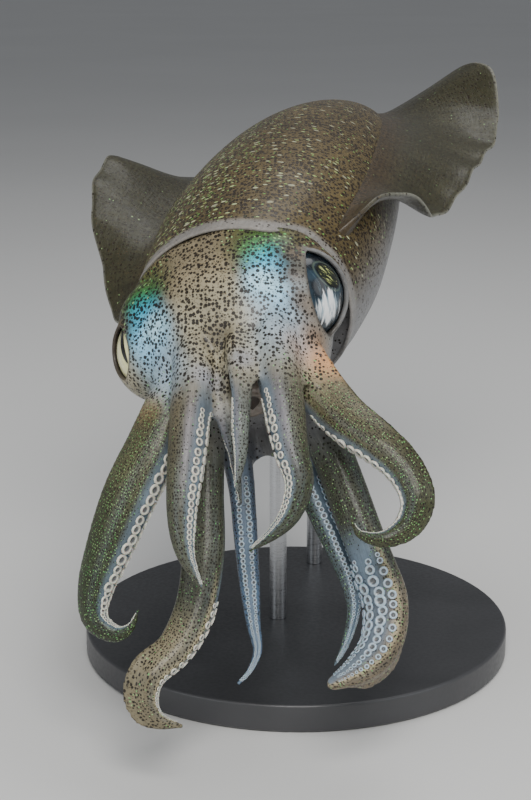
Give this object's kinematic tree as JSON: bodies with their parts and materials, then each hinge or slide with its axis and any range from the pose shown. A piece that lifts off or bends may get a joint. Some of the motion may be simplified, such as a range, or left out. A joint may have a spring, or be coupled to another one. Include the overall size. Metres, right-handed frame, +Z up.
{
  "type": "squid model",
  "caption": "Life-size bigfin reef squid with spread fins, large eyes and curling suckered arms that hang down, on a round display stand with rods.",
  "frame": {"origin": "centre of the underside of the stand's round base", "axes": "+Z up; the squid's head and arms point towards -Y and its tail towards +Y; its left is towards +X"},
  "size_m": [0.1263, 0.2117, 0.1652],
  "materials": {
    "skin": "moist skin, olive tan with dark dots and blue-green sheen",
    "fin": "moist thin skin, translucent olive with fine dots",
    "arm_skin": "moist skin, grey olive with dark and green dots, pale suckers",
    "eye": "clear glossy cornea over a silver iris and a dark pupil",
    "funnel_skin": "moist pale skin",
    "mouth": "moist skin around a dark beak",
    "stand_base": "dark satin",
    "stand_rod": "brushed"
  },
  "bodies": {
    "root": {"arm_1_left_root": "arm_skin", "arm_1_left_tip": "arm_skin", "arm_1_right_root": "arm_skin", "arm_1_right_tip": "arm_skin", "arm_2_left_root": "arm_skin", "arm_2_left_tip": "arm_skin", "arm_2_right_root": "arm_skin", "arm_2_right_tip": "arm_skin", "arm_3_left_root": "arm_skin", "arm_3_left_tip": "arm_skin", "arm_3_right_root": "arm_skin", "arm_3_right_tip": "arm_skin", "arm_4_left_root": "arm_skin", "arm_4_left_tip": "arm_skin", "arm_4_right_root": "arm_skin", "arm_4_right_tip": "arm_skin", "eye_left": "eye", "eye_right": "eye", "fin_left": "fin", "fin_right": "fin", "funnel": "funnel_skin", "head": "skin", "mantle": "skin", "mouth": "mouth", "stand_base": "stand_base", "stand_rod_back": "stand_rod", "stand_rod_front": "stand_rod", "tentacle_left_root": "arm_skin", "tentacle_left_tip": "arm_skin", "tentacle_right_root": "arm_skin", "tentacle_right_tip": "arm_skin"}
  },
  "joints": []
}
